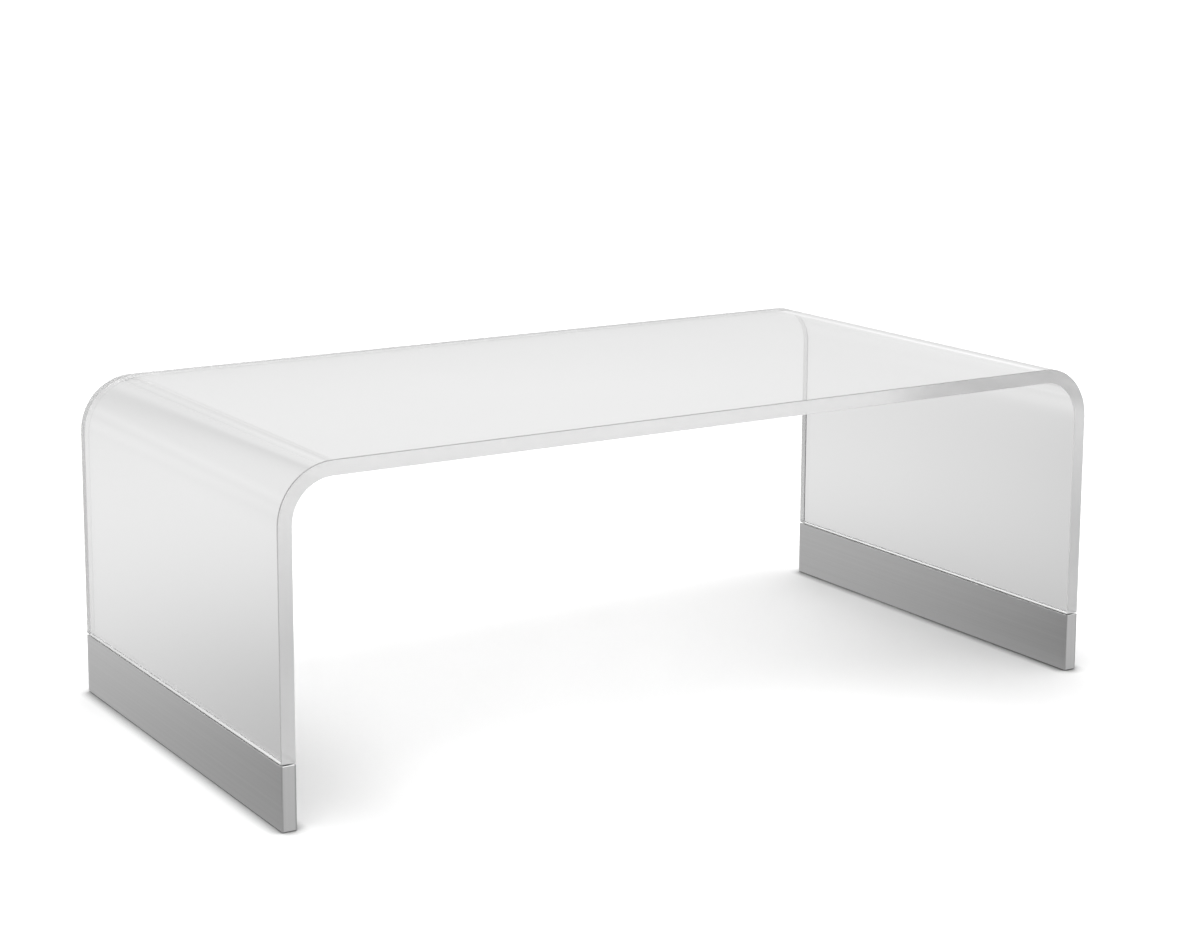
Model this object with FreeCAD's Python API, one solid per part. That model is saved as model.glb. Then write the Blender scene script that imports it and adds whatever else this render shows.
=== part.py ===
"""Waterfall coffee table: one bent slab of clear acrylic whose legs are bonded to brushed steel bases.

Frame: +X along the table's length, +Y from its front to its rear, +Z up. The origin is on the floor,
under the middle of the table. All sizes are in millimetres.
"""

import FreeCAD
import Part
import math
import os

# Overall size
table_length = 1219.2
table_depth = 609.6
table_height = 431.8

# Bent acrylic slab
slab_thickness = 19.05
inner_bend_radius = 52.0
slab_arris = 1.0

# Steel base under each leg, a closed box as wide as the slab is thick
base_height = 80.0
plate_thickness = 2.0
plate_arris = 0.5
floor_gap = 1.2
top_plate_thickness = 3.0
sole_thickness = 4.0

# Clear strip that bonds a leg to its base
bond_thickness = 1.6
bond_edge_inset = 5.0

# Glides along the underside of each base
station_names = ("front", "middle", "rear")
station_end_inset = 48.0
glide_thickness = 5.0
glide_side_clearance = 0.5
glide_edge_chamfer = 0.8
head_side_clearance = 0.4
head_cover = 0.6

# Button-head screws that hold the glides
screw_diameter = 5.0
screw_hole_clearance = 0.25
thread_clearance = 0.05
screw_tip_reach = 2.0
head_diameter = 9.5
head_height = 2.75
head_rim_height = 0.6
socket_across_flats = 3.0
socket_depth = 1.6

# Cuts run this far past the faces that they open
cut_overrun = 1.0

# Edges within this distance of a plane lie on it
match_tolerance = 0.001

# Sizes that follow from those above
half_length = table_length / 2
half_depth = table_depth / 2
outer_bend_radius = inner_bend_radius + slab_thickness
bend_height = table_height - outer_bend_radius
leg_bottom = base_height + bond_thickness
base_inner_width = slab_thickness - 2 * plate_thickness
base_inner_half_depth = half_depth - plate_thickness
sole_bottom = glide_thickness
sole_top = sole_bottom + sole_thickness
glide_diameter = base_inner_width - 2 * glide_side_clearance
screw_seat = head_height + head_cover
screw_tip = sole_top + screw_tip_reach
sides = {"left": -1, "right": 1}


def vector(x, y, z):
    return FreeCAD.Vector(x, y, z)


def leg_centre(side):
    """X of the middle of one leg, and of its base."""
    return side * (half_length - slab_thickness / 2)


def station_places():
    """Y of each glide along a base, evenly spaced between the end insets."""
    first = -half_depth + station_end_inset
    step = (table_depth - 2 * station_end_inset) / (len(station_names) - 1)
    return [first + step * index for index in range(len(station_names))]


def block(centre_x, width, low_y, high_y, low_z, high_z):
    """A box that is centred on centre_x."""
    corner = vector(centre_x - width / 2, low_y, low_z)
    return Part.makeBox(width, high_y - low_y, high_z - low_z, corner)


def polyline_edges(points):
    return [Part.LineSegment(a, b).toShape() for a, b in zip(points, points[1:])]


def turned(points, x, y):
    """A solid of revolution about the upright axis through (x, y), from (radius, z) points."""
    outline = [vector(radius, 0, z) for radius, z in points]
    face = Part.Face(Part.Wire(polyline_edges(outline + outline[:1])))
    solid = face.revolve(vector(0, 0, 0), vector(0, 0, 1), 360)
    solid.translate(vector(x, y, 0))
    return solid


def on_plane(edge, axis, value):
    """True if the whole edge lies in the plane where that coordinate has that value."""
    low = getattr(edge.BoundBox, axis + "Min")
    high = getattr(edge.BoundBox, axis + "Max")
    return abs(low - value) < match_tolerance and abs(high - value) < match_tolerance


def bend_arc(side, radius, start_angle, end_angle):
    """A quarter-bend edge in the front plane, from one angle to the other."""
    middle_angle = (start_angle + end_angle) / 2
    points = []
    for angle in (start_angle, middle_angle, end_angle):
        x = side * (half_length - outer_bend_radius + radius * math.cos(math.radians(angle)))
        z = bend_height + radius * math.sin(math.radians(angle))
        points.append(vector(x, -half_depth, z))
    return Part.Arc(*points).toShape()


def arch_profile():
    """The slab's side view as a face in the front plane, from one leg's lower end to the other's."""
    upright, level = 0, 90
    inner_x = half_length - slab_thickness
    flat_end = half_length - outer_bend_radius
    inner_top = table_height - slab_thickness

    def point(x, z):
        return vector(x, -half_depth, z)

    edges = []
    edges += polyline_edges([point(-half_length, leg_bottom), point(-half_length, bend_height)])
    edges.append(bend_arc(-1, outer_bend_radius, upright, level))
    edges += polyline_edges([point(-flat_end, table_height), point(flat_end, table_height)])
    edges.append(bend_arc(1, outer_bend_radius, level, upright))
    edges += polyline_edges([
        point(half_length, bend_height),
        point(half_length, leg_bottom),
        point(inner_x, leg_bottom),
        point(inner_x, bend_height),
    ])
    edges.append(bend_arc(1, inner_bend_radius, upright, level))
    edges += polyline_edges([point(flat_end, inner_top), point(-flat_end, inner_top)])
    edges.append(bend_arc(-1, inner_bend_radius, level, upright))
    edges += polyline_edges([
        point(-inner_x, bend_height),
        point(-inner_x, leg_bottom),
        point(-half_length, leg_bottom),
    ])
    return Part.Face(Part.Wire(edges))


def waterfall_slab():
    """The bent slab, with a polished arris all along its rims, round the bends and under the legs."""
    arch = arch_profile().extrude(vector(0, table_depth, 0))
    rims = [
        edge
        for edge in arch.Edges
        if on_plane(edge, "Y", -half_depth)
        or on_plane(edge, "Y", half_depth)
        or on_plane(edge, "Z", leg_bottom)
    ]
    return arch.makeChamfer(slab_arris, rims)


def bonding_strip(side):
    """The clear strip between a leg's lower end and the top of its base, set in from their edges."""
    width = slab_thickness - 2 * bond_edge_inset
    end = half_depth - bond_edge_inset
    return block(leg_centre(side), width, -end, end, base_height, leg_bottom)


def face_plate(side, outward):
    """A long plate of the base. Outward is the X direction that its brushed face looks in."""
    offset = (slab_thickness - plate_thickness) / 2
    centre = leg_centre(side) + outward * offset
    plate = block(centre, plate_thickness, -half_depth, half_depth, floor_gap, base_height)
    face_x = leg_centre(side) + outward * slab_thickness / 2
    rim = [edge for edge in plate.Edges if on_plane(edge, "X", face_x)]
    return plate.makeChamfer(plate_arris, rim)


def end_plate(side, toward):
    """A short plate that closes one end of the base, between the two long plates."""
    ends = sorted((toward * half_depth, toward * base_inner_half_depth))
    plate = block(leg_centre(side), base_inner_width, ends[0], ends[1], floor_gap, base_height)
    rim = [
        edge
        for edge in plate.Edges
        if on_plane(edge, "Y", toward * half_depth)
        and (on_plane(edge, "Z", floor_gap) or on_plane(edge, "Z", base_height))
    ]
    return plate.makeChamfer(plate_arris, rim)


def inner_bar(side, low_z, high_z):
    """A flat bar that fills the plan of the base's inside between two heights."""
    return block(
        leg_centre(side), base_inner_width, -base_inner_half_depth, base_inner_half_depth, low_z, high_z
    )


def top_plate(side):
    """The bar that closes the base, flush with the plates' upper edges, and carries the leg."""
    return inner_bar(side, base_height - top_plate_thickness, base_height)


def sole_plate(side):
    """The bar near the floor, with a tapped hole for each glide's screw."""
    plate = inner_bar(side, sole_bottom, sole_top)
    radius = screw_diameter / 2 + thread_clearance
    hole_length = sole_thickness + 2 * cut_overrun
    for y in station_places():
        start = vector(leg_centre(side), y, sole_bottom - cut_overrun)
        plate = plate.cut(Part.makeCylinder(radius, hole_length, start))
    return plate


def hexagon_key(x, y, low_z, high_z):
    """An upright hexagonal prism the size of the screw's socket."""
    corner_radius = socket_across_flats / math.sqrt(3)
    corners = []
    for degrees in range(0, 361, 60):
        across = corner_radius * math.cos(math.radians(degrees))
        along = corner_radius * math.sin(math.radians(degrees))
        corners.append(vector(x + across, y + along, low_z))
    return Part.Face(Part.Wire(polyline_edges(corners))).extrude(vector(0, 0, high_z - low_z))


def glide_screw(x, y):
    """A button-head screw, head down, with a hexagon socket."""
    shank = screw_diameter / 2
    head = head_diameter / 2
    head_bottom = screw_seat - head_height
    crown_radius = head - (head_height - head_rim_height)
    screw = turned([
        (0, head_bottom),
        (crown_radius, head_bottom),
        (head, screw_seat - head_rim_height),
        (head, screw_seat),
        (shank, screw_seat),
        (shank, screw_tip),
        (0, screw_tip),
    ], x, y)
    return screw.cut(hexagon_key(x, y, head_bottom - cut_overrun, head_bottom + socket_depth))


def floor_glide(x, y):
    """A nylon glide under the sole plate, with a recess that hides the screw's head."""
    outside = glide_diameter / 2
    recess = head_diameter / 2 + head_side_clearance
    hole = screw_diameter / 2 + screw_hole_clearance
    return turned([
        (recess, 0),
        (outside - glide_edge_chamfer, 0),
        (outside, glide_edge_chamfer),
        (outside, glide_thickness),
        (hole, glide_thickness),
        (hole, screw_seat),
        (recess, screw_seat),
    ], x, y)


def build_parts():
    """Every node's shape by name."""
    parts = {"waterfall_slab": waterfall_slab()}
    for name, side in sides.items():
        centre = leg_centre(side)
        places = station_places()
        parts[name + "_bonding_strip"] = bonding_strip(side)
        parts[name + "_outer_face_plate"] = face_plate(side, side)
        parts[name + "_inner_face_plate"] = face_plate(side, -side)
        parts[name + "_front_end_plate"] = end_plate(side, -1)
        parts[name + "_rear_end_plate"] = end_plate(side, 1)
        parts[name + "_top_plate"] = top_plate(side)
        parts[name + "_sole_plate"] = sole_plate(side)
        parts[name + "_glide_screws"] = Part.Compound([glide_screw(centre, y) for y in places])
        for station, y in zip(station_names, places):
            parts[name + "_" + station + "_glide"] = floor_glide(centre, y)
    return parts


def main():
    os.makedirs("parts", exist_ok=True)
    for name, shape in build_parts().items():
        shape.exportStep("parts/" + name + ".step")
        print(name, "solids", len(shape.Solids), "valid", shape.isValid(), "volume", round(shape.Volume))


main()
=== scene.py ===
import math

import bmesh
import bpy
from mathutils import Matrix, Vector


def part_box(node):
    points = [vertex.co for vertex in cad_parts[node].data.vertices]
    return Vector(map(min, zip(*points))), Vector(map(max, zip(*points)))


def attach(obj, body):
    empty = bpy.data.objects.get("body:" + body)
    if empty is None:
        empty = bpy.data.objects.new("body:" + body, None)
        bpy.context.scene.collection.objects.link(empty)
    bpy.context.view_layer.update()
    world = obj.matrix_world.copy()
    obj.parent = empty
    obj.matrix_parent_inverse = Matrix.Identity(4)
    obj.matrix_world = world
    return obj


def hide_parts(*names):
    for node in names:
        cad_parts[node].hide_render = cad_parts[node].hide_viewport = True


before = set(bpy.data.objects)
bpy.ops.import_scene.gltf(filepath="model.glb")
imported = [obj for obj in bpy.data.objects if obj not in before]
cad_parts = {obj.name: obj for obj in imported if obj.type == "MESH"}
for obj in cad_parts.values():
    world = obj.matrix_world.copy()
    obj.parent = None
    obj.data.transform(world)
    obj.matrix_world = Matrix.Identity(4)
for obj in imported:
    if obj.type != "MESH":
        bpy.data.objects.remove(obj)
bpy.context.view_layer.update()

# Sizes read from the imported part, in metres
slab_low, slab_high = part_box("waterfall_slab")
outer_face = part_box("left_outer_face_plate")[0].x
inner_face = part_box("left_inner_face_plate")[1].x
half_length = slab_high.x
half_depth = slab_high.y
table_height = slab_high.z
leg_bottom = slab_low.z
slab_thickness = inner_face - outer_face

# Sizes of the slab that its box doesn't give, in metres
inner_bend_radius = 0.052
slab_arris = 0.001
bend_start = table_height - inner_bend_radius - slab_thickness

# Gap in metres between the slab and its bonding strips, so that their faces don't lie in one plane
bond_lift = 0.0001

# Stretch round the start of a bend in which a scraped arris changes its tone, in metres
scrape_below = 0.02
scrape_above = 0.04

# How finely the slab is divided, and the turn from which an edge is crisp
bend_steps = 96
arris_steps = 2
crisp_angle = math.radians(15.0)

# Share of a bend's length in which it tightens, and in which it relaxes
bend_ease_share = 0.15

# Share of the arris by which a leg's lower rim draws in, under one so that its corners keep a radius
rim_share = 0.98

# Finish of each face round a ring, from the outer rear corner: two faces of an arris, then a flat
ring_finishes = (
    "rear_scrape_painted_shade", "rear_scrape_painted_shade", "edge",
    "frosted", "frosted", "polished",
    "frosted", "frosted", "edge",
    "end_scrape_painted_shade", "upper_scrape_painted_shade", "polished",
)

# Refractive indices
acrylic_index = 1.49
bond_index = 1.47

# Floor in metres
floor_span = 120.0

# Contact shadow: its reach in metres, and how open the floor is where it is full and where it ends
contact_reach = 0.018
contact_openness = (0.5, 1.0)
contact_samples = 8

# Tones of the floor: open, in the contact shadow, and where the slab or the steel shows it
seen_tone = 0.92
contact_tone = 0.4
mirrored_tone = 0.87

# Pools of shade on the floor that the camera sees: middle and reach in metres, and depth
seen_pools = (
    ((-0.50, -0.30), (0.12, 0.50), 0.13),
    ((0.50, -0.31), (0.25, 0.37), 0.23),
    ((0.30, 0.30), (1.50, 0.14), 0.15),
)

# Pools of shade on the floor where the slab or the steel shows it
mirrored_pools = (
    ((0.05, -0.18), (1.00, 0.76), 0.41),
    ((1.87, -1.25), (0.68, 2.00), 0.60),
    ((-0.85, -0.50), (0.22, 0.60), 0.43),
    ((0.42, -0.40), (0.16, 0.35), 0.27),
    ((0.30, 2.70), (3.00, 0.70), 0.13),
    ((0.30, -0.82), (0.90, 0.30), 0.30),
    ((0.50, -1.75), (0.90, 0.45), 0.28),
    ((0.60, 0.80), (0.13, 0.24), 0.42),
)

# Studio light by the height of its direction, from the horizon up
sky_stops = (
    (0.0, 0.88),
    (0.09, 0.74),
    (0.19, 0.91),
    (0.29, 0.76),
    (0.67, 0.70),
    (0.82, 0.95),
    (0.92, 3.8),
)

# Dimmer studio in front of the table: the share left, and the direction's Y from full dimming to none
front_share = 0.55
front_from, front_to = -0.85, -0.65

# Brighter patch of the studio behind the table: middle, reach and strength
patch_middle = (0.54, 0.76, 0.36)
patch_reach = (0.30, 0.10, 0.09)
patch_strength = 0.70

# Soft light from above
sun_strength = 0.3
sun_spread = math.radians(60.0)
sun_tilt = (math.radians(10.0), math.radians(-25.0), 0.0)

# Times that light may turn inside the slab
slab_bounces = 300

# Camera, fitted to the photograph's outline
camera_place = (-1.7557, -2.7625, 1.0482)
camera_yaw = math.radians(30.777)
camera_pitch = math.radians(-9.936)
camera_sensor = 36.0
camera_lens = 74.183
camera_shift = (0.0667, -0.1071)


def feed(tree, value, socket):
    """Sets a plain value on a socket, or links it from another node's socket."""
    if isinstance(value, bpy.types.NodeSocket):
        tree.links.new(value, socket)
    else:
        socket.default_value = value


def set_inputs(tree, made, **inputs):
    """Sets a node's inputs by name, with _ for each space."""
    for name, value in inputs.items():
        feed(tree, value, made.inputs[name.replace("_", " ")])


def node(tree, kind, settings=None, **inputs):
    """Adds a node with its settings and inputs."""
    made = tree.nodes.new(kind)
    for name, value in (settings or {}).items():
        setattr(made, name, value)
    set_inputs(tree, made, **inputs)
    return made


def number_math(tree, operation, first, second):
    """The result of one operation on two numbers."""
    made = node(tree, "ShaderNodeMath", {"operation": operation})
    feed(tree, first, made.inputs[0])
    feed(tree, second, made.inputs[1])
    return made.outputs["Value"]


def vector_math(tree, operation, first, second):
    """The result of one operation on two vectors: a number for a dot product, and otherwise a vector."""
    made = node(tree, "ShaderNodeVectorMath", {"operation": operation})
    feed(tree, first, made.inputs[0])
    feed(tree, second, made.inputs[1])
    return made.outputs["Value" if operation == "DOT_PRODUCT" else "Vector"]


def map_range(tree, value, before, after):
    """Maps a value from one range to another, and keeps it inside the second."""
    mapping = node(tree, "ShaderNodeMapRange", Value=value)
    set_inputs(tree, mapping, From_Min=before[0], From_Max=before[1], To_Min=after[0], To_Max=after[1])
    return mapping.outputs["Result"]


def remapped(tree, noise, low, high):
    """Maps noise, which stays near one half, to the range from low to high."""
    usual_range = (0.25, 0.75)
    return map_range(tree, noise, usual_range, (low, high))


def grey(tree, tone):
    """The colour with that tone in all its channels."""
    return node(tree, "ShaderNodeCombineColor", Red=tone, Green=tone, Blue=tone).outputs["Color"]


def mixed_colour(tree, share, first, second):
    """A colour between two others."""
    mix = node(tree, "ShaderNodeMix", {"data_type": "RGBA"}, Factor=share, A=first, B=second)
    return mix.outputs["Result"]


def object_place(tree):
    """The place on the object, in metres."""
    return node(tree, "ShaderNodeTexCoord").outputs["Object"]


def stretched_noise(tree, stretch, detail):
    """Noise on the object's own coordinates, with a separate frequency per metre along each axis."""
    scaled = node(tree, "ShaderNodeMapping", Vector=object_place(tree), Scale=stretch).outputs["Vector"]
    return node(tree, "ShaderNodeTexNoise", Vector=scaled, Scale=1.0, Detail=detail).outputs["Fac"]


def by_height(tree, heights, values):
    """A value that changes from the first to the second between two heights."""
    height = node(tree, "ShaderNodeSeparateXYZ", Vector=object_place(tree)).outputs["Z"]
    return map_range(tree, height, heights, values)


def bumped(tree, height, strength, distance):
    """The surface's normal with a fine relief."""
    bump = node(tree, "ShaderNodeBump", Height=height, Strength=strength, Distance=distance)
    return bump.outputs["Normal"]


def new_material(name):
    """A material with only a Principled shader, its node tree and that shader."""
    material = bpy.data.materials.new(name)
    material.use_nodes = True
    tree = material.node_tree
    tree.nodes.clear()
    shader = node(tree, "ShaderNodeBsdfPrincipled")
    node(tree, "ShaderNodeOutputMaterial", Surface=shader.outputs["BSDF"])
    return material, tree, shader


def clear_acrylic(name, tint, dullness=0.0, painted_shade_at_foot=1.0):
    """Cast acrylic: clear, with a faint neutral tint, fine polishing marks and a slow waviness.

    Towards the lower ends of the legs the tint darkens as painted shade, to the share of the tint given
    by the last argument.
    """
    mark_roughness = 0.012
    material, tree, shader = new_material(name)
    cloud = stretched_noise(tree, stretch=(2.0, 2.0, 2.0), detail=2.0)
    # Painted shade: the tint darkens from the start of the bend down to the lower ends of the legs
    painted_foot_shade = by_height(tree, (leg_bottom, bend_start), (painted_shade_at_foot, 1.0))
    tone = number_math(tree, "MULTIPLY", remapped(tree, cloud, *tint), painted_foot_shade)
    marks = stretched_noise(tree, stretch=(160.0, 25.0, 90.0), detail=4.0)
    waves = stretched_noise(tree, stretch=(4.0, 3.0, 4.0), detail=1.0)
    set_inputs(
        tree,
        shader,
        Base_Color=grey(tree, tone),
        Roughness=remapped(tree, marks, dullness, dullness + mark_roughness),
        Transmission_Weight=1.0,
        IOR=acrylic_index,
        Normal=bumped(tree, waves, strength=0.05, distance=0.002),
    )
    return material


def satin_acrylic_with_painted_shade(name, on_legs, on_top, inside=0.95):
    """Acrylic left matte by the scraper or the saw.

    It has one tone on the legs and another on the top, and a third as seen from inside the slab.
    The dark tones are painted shade along the rims, and the changes over the bend and from inside
    are painted light and shade. The matte finish itself is real.
    """
    material, tree, shader = new_material(name)
    marks = stretched_noise(tree, stretch=(900.0, 60.0, 900.0), detail=3.0)
    heights = (bend_start - scrape_below, bend_start + scrape_above)
    # Painted shade: the tone changes from the legs to the top round the start of the bend
    over_bend = by_height(tree, heights, (on_legs, on_top))
    outside = number_math(tree, "ADD", over_bend, remapped(tree, marks, low=-0.03, high=0.03))
    # Painted light and shade: a separate tone where the arris is seen from inside the slab
    from_inside = node(tree, "ShaderNodeNewGeometry").outputs["Backfacing"]
    tone = map_range(tree, from_inside, (0.0, 1.0), (outside, inside))
    roughness = remapped(tree, marks, low=0.6, high=0.8)
    set_inputs(tree, shader, Base_Color=grey(tree, tone), Roughness=roughness)
    return material


def hazy_bond():
    """The bonding strip: clear, with a slight haze."""
    material, tree, shader = new_material("clear_bond")
    haze = stretched_noise(tree, stretch=(400.0, 400.0, 400.0), detail=3.0)
    set_inputs(
        tree,
        shader,
        Base_Color=grey(tree, remapped(tree, haze, low=0.80, high=0.88)),
        Roughness=remapped(tree, haze, low=0.15, high=0.3),
        Transmission_Weight=1.0,
        IOR=bond_index,
    )
    return material


def brushed_stainless(name, grain, tone):
    """Stainless steel with straight brush marks. Grain holds the marks' frequency along each axis."""
    broad_share = 0.12
    material, tree, shader = new_material(name)
    fine = stretched_noise(tree, grain, detail=3.0)
    coarse_grain = tuple(frequency * broad_share for frequency in grain)
    broad = stretched_noise(tree, coarse_grain, detail=2.0)
    set_inputs(
        tree,
        shader,
        Base_Color=grey(tree, remapped(tree, broad, *tone)),
        Roughness=remapped(tree, fine, low=0.28, high=0.34),
        Metallic=1.0,
        Normal=bumped(tree, fine, strength=0.05, distance=0.0001),
    )
    return material


def plain_metal(name, colour, roughness):
    """A turned or rolled metal with slight mottling."""
    dark_share = 0.85
    roughness_spread = 0.06
    material, tree, shader = new_material(name)
    mottle = stretched_noise(tree, stretch=(300.0, 300.0, 300.0), detail=3.0)
    dark = tuple(channel * dark_share for channel in colour)
    set_inputs(
        tree,
        shader,
        Base_Color=mixed_colour(tree, mottle, (*dark, 1.0), (*colour, 1.0)),
        Roughness=remapped(tree, mottle, roughness - roughness_spread, roughness + roughness_spread),
        Metallic=1.0,
    )
    return material


def black_nylon():
    """Moulded nylon with a fine satin grain."""
    material, tree, shader = new_material("black_nylon")
    grain = stretched_noise(tree, stretch=(1500.0, 1500.0, 1500.0), detail=2.0)
    set_inputs(
        tree,
        shader,
        Base_Color=grey(tree, remapped(tree, grain, low=0.012, high=0.02)),
        Roughness=remapped(tree, grain, low=0.45, high=0.6),
        Normal=bumped(tree, grain, strength=0.2, distance=0.0001),
    )
    return material


def ring(outer, inner, reach, radius):
    """Points round the slab at one station. Outer and inner are (x, z), reach is half the depth.

    They go round four corners of that radius: outer rear, inner rear, inner front and outer front.
    """
    outer, inner = Vector(outer), Vector(inner)
    middle = (outer + inner) / 2
    across = (outer - inner).normalized()
    side = (outer - inner).length / 2 - radius
    end = reach - radius
    points = []
    for corner, (toward_outer, toward_rear) in enumerate(((1, 1), (-1, 1), (-1, -1), (1, -1))):
        for step in range(arris_steps + 1):
            angle = math.radians(90.0 * (corner + step / arris_steps))
            place = middle + across * (toward_outer * side + radius * math.cos(angle))
            points.append(Vector((place.x, toward_rear * end + radius * math.sin(angle), place.y)))
    return points


def leg_ring(side, height, inset):
    """A ring across one leg at a height, drawn in from the slab's faces by inset."""
    outer = (side * (half_length - inset), height)
    inner = (side * (half_length - slab_thickness + inset), height)
    return ring(outer, inner, half_depth - inset, slab_arris - inset)


def lower_rim(side):
    """Rings that round off the lower end of one leg, from its underside up."""
    bottom = leg_bottom + bond_lift
    rings = []
    for step in range(arris_steps + 1):
        angle = math.radians(90.0 * step / arris_steps)
        inset = slab_arris * (1.0 - math.sin(angle)) * rim_share
        rings.append(leg_ring(side, bottom + slab_arris * (1.0 - math.cos(angle)), inset))
    return rings


def eased(share):
    """Share of the turn at a share of the bend's length: the curve tightens and relaxes gradually."""
    ease = bend_ease_share
    if share > 0.5:
        return 1.0 - eased(1.0 - share)
    if share < ease:
        return share * share / (2.0 * ease * (1.0 - ease))
    return (share - ease / 2.0) / (1.0 - ease)


def bend_places():
    """Turn and place along the middle line of a bend, from leg to top.

    Places are measured from the corner where the middle lines of leg and top would meet.
    """
    middle_radius = inner_bend_radius + slab_thickness / 2
    length = math.pi / 2 * middle_radius / (1.0 - bend_ease_share)
    turns = [math.pi / 2 * eased(step / bend_steps) for step in range(bend_steps + 1)]
    places = [Vector((0.0, 0.0))]
    for turn, following in zip(turns, turns[1:]):
        heading = (turn + following) / 2
        stride = Vector((-math.sin(heading), math.cos(heading))) * length / bend_steps
        places.append(places[-1] + stride)
    drop = Vector((0.0, places[-1].y))
    return [(turn, place - drop) for turn, place in zip(turns, places)]


def half_rings(side):
    """Rings of one half of the slab, from the leg's lower end up to the start of the flat top."""
    half_thickness = slab_thickness / 2
    rings = lower_rim(side)
    for turn, place in bend_places():
        middle = place + Vector((half_length - half_thickness, table_height - half_thickness))
        outward = Vector((math.cos(turn), math.sin(turn))) * half_thickness
        outer, inner = middle + outward, middle - outward
        rings.append(ring((side * outer.x, outer.y), (side * inner.x, inner.y), half_depth, slab_arris))
    return rings


def slab_finishes():
    """The slab's materials by finish, in the order of its slots."""
    return {
        "polished": clear_acrylic("clear_acrylic", tint=(0.95, 0.965)),
        # The edges' tint, lighter than the faces', is painted light, and their darkening towards the
        # legs' lower ends is painted shade
        "edge": clear_acrylic("clear_acrylic_edge", tint=(0.98, 1.0), dullness=0.28, painted_shade_at_foot=0.72),
        # The dark tones of these arrises are painted shade, darker on the top than on the legs
        "upper_scrape_painted_shade": satin_acrylic_with_painted_shade("scraped_arris_upper_painted_shade", on_legs=0.60, on_top=0.27),
        "end_scrape_painted_shade": satin_acrylic_with_painted_shade("scraped_arris_end_painted_shade", on_legs=0.60, on_top=0.45),
        "rear_scrape_painted_shade": satin_acrylic_with_painted_shade("scraped_arris_rear_painted_shade", on_legs=0.45, on_top=0.30, inside=0.30),
        "frosted": clear_acrylic("frosted_arris", tint=(0.96, 0.98), dullness=0.5),
        "sawn": satin_acrylic_with_painted_shade("sawn_end", on_legs=0.95, on_top=0.95),
    }


def slab_mesh(slots):
    """The slab as one closed loft over both legs. Slots names the finish in each material slot."""
    rings = half_rings(-1) + half_rings(1)[::-1]
    work = bmesh.new()
    loops = [[work.verts.new(point) for point in points] for points in rings]
    last = len(loops) - 2
    for station, (first, second) in enumerate(zip(loops, loops[1:])):
        is_lower_rim = min(station, last - station) < arris_steps
        for index, finish in enumerate(ring_finishes):
            following = (index + 1) % len(ring_finishes)
            face = work.faces.new((first[index], first[following], second[following], second[index]))
            face.material_index = slots.index("sawn" if is_lower_rim else finish)
            face.smooth = True
    for loop in (loops[0], loops[-1]):
        work.faces.new(loop).material_index = slots.index("polished")
    bmesh.ops.recalc_face_normals(work, faces=work.faces)
    for line in work.edges:
        line.smooth = line.calc_face_angle(0.0) < crisp_angle
    mesh = bpy.data.meshes.new("acrylic_slab")
    work.to_mesh(mesh)
    work.free()
    return mesh


def acrylic_slab():
    """The bent slab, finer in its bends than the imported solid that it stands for."""
    finishes = slab_finishes()
    mesh = slab_mesh(list(finishes))
    for material in finishes.values():
        mesh.materials.append(material)
    slab = bpy.data.objects.new("acrylic_slab", mesh)
    bpy.context.scene.collection.objects.link(slab)
    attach(slab, "root")
    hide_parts("waterfall_slab")


def dress(name, material):
    """Gives a CAD node that is kept its material."""
    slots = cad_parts[name].data.materials
    slots.clear()
    slots.append(material)


def dress_bases():
    """Materials of the steel bases and of what is hidden in them."""
    along_base = (2500.0, 8.0, 2500.0)
    up_end = (2500.0, 2500.0, 12.0)
    # The end plates are the same steel as the face plates; their lighter tone is painted light
    long_grain = brushed_stainless("brushed_stainless_long", grain=along_base, tone=(0.56, 0.60))
    end_grain_painted_lighter = brushed_stainless("brushed_stainless_end_painted_lighter", grain=up_end, tone=(0.80, 0.86))
    rolled = plain_metal("rolled_steel", colour=(0.42, 0.42, 0.43), roughness=0.5)
    zinc = plain_metal("zinc_steel", colour=(0.55, 0.56, 0.58), roughness=0.35)
    nylon = black_nylon()
    bond = hazy_bond()
    for side in ("left", "right"):
        dress(side + "_outer_face_plate", long_grain)
        dress(side + "_inner_face_plate", long_grain)
        dress(side + "_front_end_plate", end_grain_painted_lighter)
        dress(side + "_rear_end_plate", end_grain_painted_lighter)
        dress(side + "_top_plate", long_grain)
        dress(side + "_sole_plate", rolled)
        dress(side + "_glide_screws", zinc)
        dress(side + "_bonding_strip", bond)
        for station in ("front", "middle", "rear"):
            dress(side + "_" + station + "_glide", nylon)


def soft_bell(tree, place, middle, reach, height):
    """A soft bell of that height round a middle, with a separate reach along each axis."""
    from_middle = vector_math(tree, "SUBTRACT", place, middle)
    scaled = vector_math(tree, "DIVIDE", from_middle, reach)
    square = vector_math(tree, "DOT_PRODUCT", scaled, scaled)
    bell = number_math(tree, "POWER", 1.0 / math.e, square)
    return number_math(tree, "MULTIPLY", bell, height)


def soft_pool(tree, middle, reach, depth):
    """How much darker a soft pool of shade makes the floor: a bell over an ellipse, in metres."""
    place = node(tree, "ShaderNodeNewGeometry").outputs["Position"]
    return soft_bell(tree, place, (*middle, 0.0), (*reach, 1.0), depth)


def less_pools(tree, tone, pools):
    """A floor tone less the pools of shade that lie on it."""
    for pool in pools:
        tone = number_math(tree, "SUBTRACT", tone, soft_pool(tree, *pool))
    return tone


def camera_ray(tree):
    """One where the camera sees a surface directly, and zero where the slab or the steel shows it."""
    return node(tree, "ShaderNodeLightPath").outputs["Is Camera Ray"]


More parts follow.
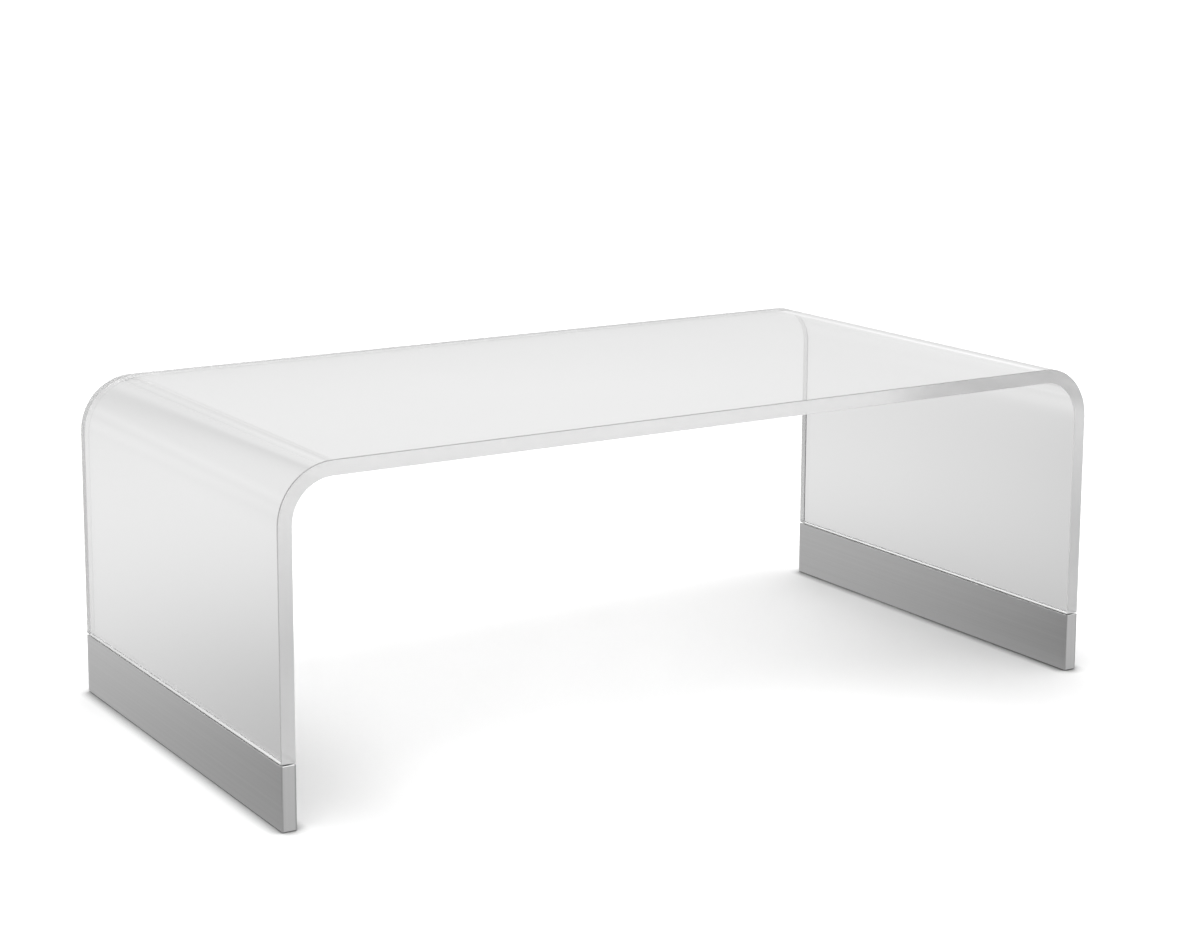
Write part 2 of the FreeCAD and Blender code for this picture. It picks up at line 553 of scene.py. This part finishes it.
def floor_material():
    """White floor with shade beside the bases. Shown through the slab or mirrored, it is greyer."""
    material, tree, shader = new_material("floor_white")
    settings = {"samples": contact_samples}
    openness = node(tree, "ShaderNodeAmbientOcclusion", settings, Distance=contact_reach)
    contact = map_range(tree, openness.outputs["AO"], contact_openness, (contact_tone, seen_tone))
    seen = grey(tree, less_pools(tree, contact, seen_pools))
    set_inputs(tree, shader, Base_Color=seen, Roughness=0.9, Specular_IOR_Level=0.0)
    # Where the slab or the steel shows the floor, it glows with a painted grey, less painted pools of
    # shade, in place of being lit
    mirrored = grey(tree, less_pools(tree, mirrored_tone, mirrored_pools))
    glow = node(tree, "ShaderNodeEmission", Color=mirrored, Strength=1.0)
    mix = node(tree, "ShaderNodeMixShader", Fac=camera_ray(tree))
    feed(tree, glow.outputs["Emission"], mix.inputs[1])
    feed(tree, shader.outputs["BSDF"], mix.inputs[2])
    set_inputs(tree, tree.nodes["Material Output"], Surface=mix.outputs["Shader"])
    return material


def pale_floor():
    """A wide pale floor, which isn't part of the object."""
    bpy.ops.mesh.primitive_plane_add(size=floor_span)
    floor = bpy.context.object
    floor.name = "floor"
    floor.data.materials.append(floor_material())


def sky_light(tree):
    """The studio as light: a pale horizon, a greyer band and a bright ceiling.

    It is dimmer in front of the table, and has a brighter patch behind it.
    """
    direction = node(tree, "ShaderNodeTexCoord").outputs["Generated"]
    parts = node(tree, "ShaderNodeSeparateXYZ", Vector=direction).outputs
    ramp = node(tree, "ShaderNodeValToRGB", Fac=parts["Z"])
    elements = ramp.color_ramp.elements
    while len(elements) < len(sky_stops):
        elements.new(0.5)
    for element, (place, tone) in zip(elements, sky_stops):
        element.position = place
        element.color = (tone, tone, tone, 1.0)
    dimming = map_range(tree, parts["Y"], (front_from, front_to), (front_share, 1.0))
    light = node(tree, "ShaderNodeVectorMath", {"operation": "SCALE"}, Scale=dimming)
    feed(tree, ramp.outputs["Color"], light.inputs[0])
    patch = soft_bell(tree, direction, patch_middle, patch_reach, patch_strength)
    return vector_math(tree, "ADD", light.outputs["Vector"], patch)


def studio_world():
    """The studio round the table: white where the camera sees it, and its light for everything else."""
    white = (1.0, 1.0, 1.0, 1.0)
    world = bpy.data.worlds.new("studio")
    bpy.context.scene.world = world
    world.use_nodes = True
    tree = world.node_tree
    tree.nodes.clear()
    shown = mixed_colour(tree, camera_ray(tree), sky_light(tree), white)
    background = node(tree, "ShaderNodeBackground", Color=shown, Strength=1.0)
    node(tree, "ShaderNodeOutputWorld", Surface=background.outputs["Background"])


def overhead_light():
    """A soft light from above and to the left."""
    lamp = bpy.data.lights.new("overhead", "SUN")
    lamp.energy = sun_strength
    lamp.angle = sun_spread
    lamp.cycles.use_multiple_importance_sampling = False
    light = bpy.data.objects.new("overhead", lamp)
    light.rotation_euler = sun_tilt
    bpy.context.scene.collection.objects.link(light)


def photo_camera():
    """The camera at the photograph's angle. A small shift keeps the uprights nearly parallel."""
    data = bpy.data.cameras.new("camera")
    data.sensor_width = camera_sensor
    data.lens = camera_lens
    data.shift_x, data.shift_y = camera_shift
    camera = bpy.data.objects.new("camera", data)
    camera.location = camera_place
    camera.rotation_euler = (math.pi / 2 + camera_pitch, 0.0, -camera_yaw)
    bpy.context.scene.collection.objects.link(camera)
    bpy.context.scene.camera = camera


def light_paths():
    """Enough bounces for light that zigzags inside the slab, and colours shown as they are."""
    scene = bpy.context.scene
    scene.cycles.max_bounces = slab_bounces
    scene.cycles.glossy_bounces = slab_bounces
    scene.cycles.transmission_bounces = slab_bounces
    scene.view_settings.view_transform = "Standard"


acrylic_slab()
dress_bases()
pale_floor()
studio_world()
overhead_light()
photo_camera()
light_paths()
